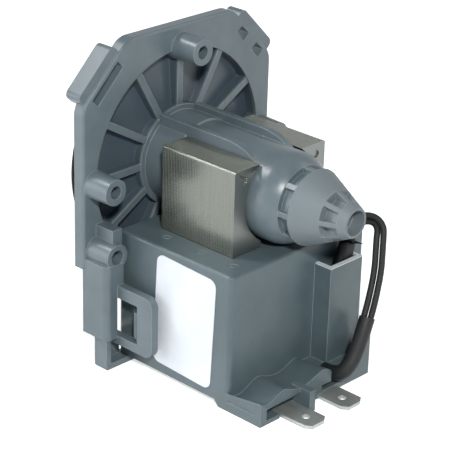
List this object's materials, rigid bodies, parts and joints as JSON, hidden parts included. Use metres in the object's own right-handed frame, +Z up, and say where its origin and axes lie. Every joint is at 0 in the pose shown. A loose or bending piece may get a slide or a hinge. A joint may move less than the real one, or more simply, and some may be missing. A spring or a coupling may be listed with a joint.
{
  "type": "dishwasher drain pump",
  "caption": "Drain pump with a ribbed mounting flange, round spigot, laminated motor core, coil housing with spade terminals and a finned impeller.",
  "frame": {"origin": "on the pump axis, in the front face of the mounting flange, midway between the two side screw bosses", "axes": "+X along the pump axis towards the motor's nose, the impeller towards -X; +Z up, away from the coil housing; +Y the side of the thermal cut-out"},
  "size_m": [0.08, 0.0608, 0.0754],
  "materials": {
    "flange_plastic": "satin mid-grey filled plastic",
    "housing_plastic": "satin blue-grey filled plastic",
    "seal_rubber": "matt black rubber",
    "carrier_plastic": "satin grey filled plastic",
    "bearing_carbon": "dark fine ground bush",
    "shaft_steel": "ground stainless steel",
    "rotor_plastic": "matt black plastic",
    "magnet_ferrite": "dark ferrite",
    "impeller_plastic": "satin black plastic",
    "core_steel": "stacked steel laminations",
    "bobbin_plastic": "matt off-white plastic",
    "winding_copper": "enamelled copper wire",
    "terminal_tin": "dull tin plate",
    "cutout_wrap": "black heat-shrunk film",
    "label_paper": "white label film",
    "lead_insulation": "black wire insulation",
    "sleeve_tubing": "black insulating sleeve"
  },
  "bodies": {
    "root": {"flange_can": "flange_plastic", "flange_seal": "seal_rubber", "bearing_carrier": "carrier_plastic", "carrier_o_ring": "seal_rubber", "front_bearing": "bearing_carbon", "front_bearing_seat": "seal_rubber", "rear_bearing": "bearing_carbon", "rear_bearing_seat": "seal_rubber", "stator_core": "core_steel", "coil_bobbin_left": "bobbin_plastic", "coil_bobbin_right": "bobbin_plastic", "coil_winding_left": "winding_copper", "coil_winding_right": "winding_copper", "coil_housing": "housing_plastic", "terminal_left": "terminal_tin", "terminal_right": "terminal_tin", "thermal_cutout": "cutout_wrap", "rating_label": "label_paper", "cutout_lead_1": "lead_insulation", "cutout_lead_2": "lead_insulation", "lead_sleeve": "sleeve_tubing"},
    "rotor": {"rotor_shaft": "shaft_steel", "magnet_hub": "rotor_plastic", "rotor_magnet": "magnet_ferrite", "front_thrust_washer": "rotor_plastic", "rear_thrust_washer": "rotor_plastic", "coupling_dog": "rotor_plastic"},
    "impeller_wheel": {"impeller": "impeller_plastic", "impeller_cap": "impeller_plastic"}
  },
  "joints": [
    {"name": "rotor_spin", "type": "hinge", "parent": "root", "child": "rotor", "pos_m": [0, 0, 0], "axis": [1, 0, 0], "continuous": true},
    {"name": "impeller_play", "type": "hinge", "parent": "rotor", "child": "impeller_wheel", "pos_m": [-0.0165, 0, 0], "axis": [1, 0, 0], "range_deg": [0, 168]}
  ]
}
